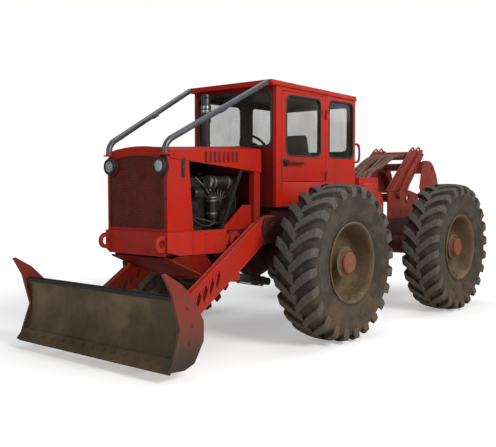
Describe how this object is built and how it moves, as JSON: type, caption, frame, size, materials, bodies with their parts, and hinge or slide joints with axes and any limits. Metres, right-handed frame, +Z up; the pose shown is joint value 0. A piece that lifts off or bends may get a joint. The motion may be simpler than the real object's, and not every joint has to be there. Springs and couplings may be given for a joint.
{
  "type": "cable skidder",
  "caption": "Articulated cable skidder with a front blade on lift arms, hollow cab, sloping guard bars, winch, rope arch and large lugged tyres.",
  "frame": {"origin": "middle of the whole machine's box, at ground level", "axes": "+X forward towards the blade, +Y the machine's left, +Z up"},
  "size_m": [6.28, 2.77, 2.74],
  "materials": {
    "red_paint": "faded bright red enamel, satin, with dust and worn edges",
    "dark_red_paint": "dull dark red enamel",
    "blade_steel": "earth-stained worn steel",
    "bar_steel": "blue-grey painted steel, semi-gloss",
    "tyre_rubber": "dusty matt rubber",
    "rim_steel": "mud-stained matt enamel",
    "window_glass": "dark tinted glass",
    "black_parts": "oily black enamel",
    "lamp": "dark housing with a bright reflector",
    "seat_cover": "dark grey vinyl",
    "rod_chrome": "polished rod",
    "stack_steel": "bright sleeve over a sooty pipe",
    "wire_rope": "greasy rusty wire rope"
  },
  "bodies": {
    "front": {"belly_pan": "red_paint", "bumper": "red_paint", "cab_floor": "dark_red_paint", "cab_front": "red_paint", "cab_rear": "red_paint", "cab_roof": "red_paint", "cab_side_left": "red_paint", "cab_side_right": "red_paint", "dashboard": "black_parts", "deflector_bar_left": "bar_steel", "deflector_bar_right": "bar_steel", "engine": "black_parts", "exhaust_stack": "stack_steel", "front_axle": "dark_red_paint", "front_frame": "dark_red_paint", "grille": "dark_red_paint", "headlight_left": "lamp", "headlight_right": "lamp", "hood": "red_paint", "hood_frame": "red_paint", "nose_shell": "red_paint", "operator_seat": "seat_cover", "rear_window": "window_glass", "side_glass_left": "window_glass", "side_glass_right": "window_glass", "windscreen": "window_glass"},
    "wheel_front_left": {"tyre_front_left": "tyre_rubber", "rim_front_left": "rim_steel"},
    "wheel_front_right": {"tyre_front_right": "tyre_rubber", "rim_front_right": "rim_steel"},
    "wheel_rear_left": {"tyre_rear_left": "tyre_rubber", "rim_rear_left": "rim_steel"},
    "wheel_rear_right": {"tyre_rear_right": "tyre_rubber", "rim_rear_right": "rim_steel"},
    "door_left": {"door_left": "red_paint", "door_glass_left": "window_glass"},
    "lift_barrel_left": {"lift_left_barrel": "black_parts"},
    "lift_rod_left": {"lift_left_rod": "rod_chrome"},
    "steer_barrel_left": {"steer_left_barrel": "black_parts"},
    "steer_rod_left": {"steer_left_rod": "rod_chrome"},
    "door_right": {"door_right": "red_paint", "door_glass_right": "window_glass"},
    "lift_barrel_right": {"lift_right_barrel": "black_parts"},
    "lift_rod_right": {"lift_right_rod": "rod_chrome"},
    "steer_barrel_right": {"steer_right_barrel": "black_parts"},
    "steer_rod_right": {"steer_right_rod": "rod_chrome"},
    "blade_set": {"blade": "blade_steel", "cutting_edge": "blade_steel", "blade_arms": "red_paint"},
    "rear": {"rear_frame": "dark_red_paint", "rear_axle": "dark_red_paint", "winch_case": "red_paint", "arch": "red_paint", "butt_plate": "red_paint"},
    "winch_drum": {"winch_drum": "wire_rope"},
    "fairlead_roller": {"fairlead_roller": "rod_chrome"}
  },
  "joints": [
    {"name": "articulation", "type": "hinge", "parent": "front", "child": "rear", "pos_m": [-0.595, 0, 0.83], "axis": [0, 0, 1], "range_deg": [-36, 36]},
    {"name": "wheel_front_left_spin", "type": "hinge", "parent": "front", "child": "wheel_front_left", "pos_m": [0.71, 1.15, 0.8275], "axis": [0, 1, 0], "continuous": true},
    {"name": "wheel_front_right_spin", "type": "hinge", "parent": "front", "child": "wheel_front_right", "pos_m": [0.71, -1.15, 0.8275], "axis": [0, 1, 0], "continuous": true},
    {"name": "wheel_rear_left_spin", "type": "hinge", "parent": "rear", "child": "wheel_rear_left", "pos_m": [-1.9, 1.15, 0.8275], "axis": [0, 1, 0], "continuous": true},
    {"name": "wheel_rear_right_spin", "type": "hinge", "parent": "rear", "child": "wheel_rear_right", "pos_m": [-1.9, -1.15, 0.8275], "axis": [0, 1, 0], "continuous": true},
    {"name": "blade_lift", "type": "hinge", "parent": "front", "child": "blade_set", "pos_m": [1.151, 0, 1.182], "axis": [0, -1, 0], "range_deg": [-5, 25]},
    {"name": "door_left_swing", "type": "hinge", "parent": "front", "child": "door_left", "pos_m": [0.1225, 0.612, 2.15], "axis": [0, 0, 1], "range_deg": [0, 100]},
    {"name": "lift_barrel_left_swing", "type": "hinge", "parent": "front", "child": "lift_barrel_left", "pos_m": [1.06, 0.49, 0.6], "axis": [0, -1, 0], "range_deg": [-3.79, 16.95]},
    {"name": "lift_rod_left_slide", "type": "slide", "parent": "lift_barrel_left", "child": "lift_rod_left", "axis": [0.9834, 0, 0.1815], "range_m": [-0.0481, 0.2324]},
    {"name": "steer_barrel_left_swing", "type": "hinge", "parent": "front", "child": "steer_barrel_left", "pos_m": [0, 0.22, 0.83], "axis": [0, 0, 1], "range_deg": [-3.44, 3.44]},
    {"name": "steer_rod_left_slide", "type": "slide", "parent": "steer_barrel_left", "child": "steer_rod_left", "axis": [-1, 0, 0], "range_m": [-0.1351, 0.1351]},
    {"name": "door_right_swing", "type": "hinge", "parent": "front", "child": "door_right", "pos_m": [0.1225, -0.612, 2.15], "axis": [0, 0, -1], "range_deg": [0, 100]},
    {"name": "lift_barrel_right_swing", "type": "hinge", "parent": "front", "child": "lift_barrel_right", "pos_m": [1.06, -0.49, 0.6], "axis": [0, -1, 0], "range_deg": [-3.79, 16.95]},
    {"name": "lift_rod_right_slide", "type": "slide", "parent": "lift_barrel_right", "child": "lift_rod_right", "axis": [0.9834, 0, 0.1815], "range_m": [-0.0481, 0.2324]},
    {"name": "steer_barrel_right_swing", "type": "hinge", "parent": "front", "child": "steer_barrel_right", "pos_m": [0, -0.22, 0.83], "axis": [0, 0, 1], "range_deg": [-3.44, 3.44]},
    {"name": "steer_rod_right_slide", "type": "slide", "parent": "steer_barrel_right", "child": "steer_rod_right", "axis": [-1, 0, 0], "range_m": [-0.1351, 0.1351]},
    {"name": "winch_drum_spin", "type": "hinge", "parent": "rear", "child": "winch_drum", "pos_m": [-1.61, 0, 1.42], "axis": [0, 1, 0], "continuous": true},
    {"name": "fairlead_roller_spin", "type": "hinge", "parent": "rear", "child": "fairlead_roller", "pos_m": [-2.91, 0, 1.9], "axis": [0, 1, 0], "continuous": true}
  ],
  "couplings": [
    {"joint": "lift_barrel_left_swing", "follows": "blade_lift", "ratio": 0.6582},
    {"joint": "lift_rod_left_slide", "follows": "blade_lift", "m_per_rad": 0.5281},
    {"joint": "steer_barrel_left_swing", "follows": "articulation", "ratio": 0.0816},
    {"joint": "steer_rod_left_slide", "follows": "articulation", "m_per_rad": 0.2119},
    {"joint": "lift_barrel_right_swing", "follows": "blade_lift", "ratio": 0.6582},
    {"joint": "lift_rod_right_slide", "follows": "blade_lift", "m_per_rad": 0.5281},
    {"joint": "steer_barrel_right_swing", "follows": "articulation", "ratio": 0.0816},
    {"joint": "steer_rod_right_slide", "follows": "articulation", "m_per_rad": -0.2119}
  ]
}
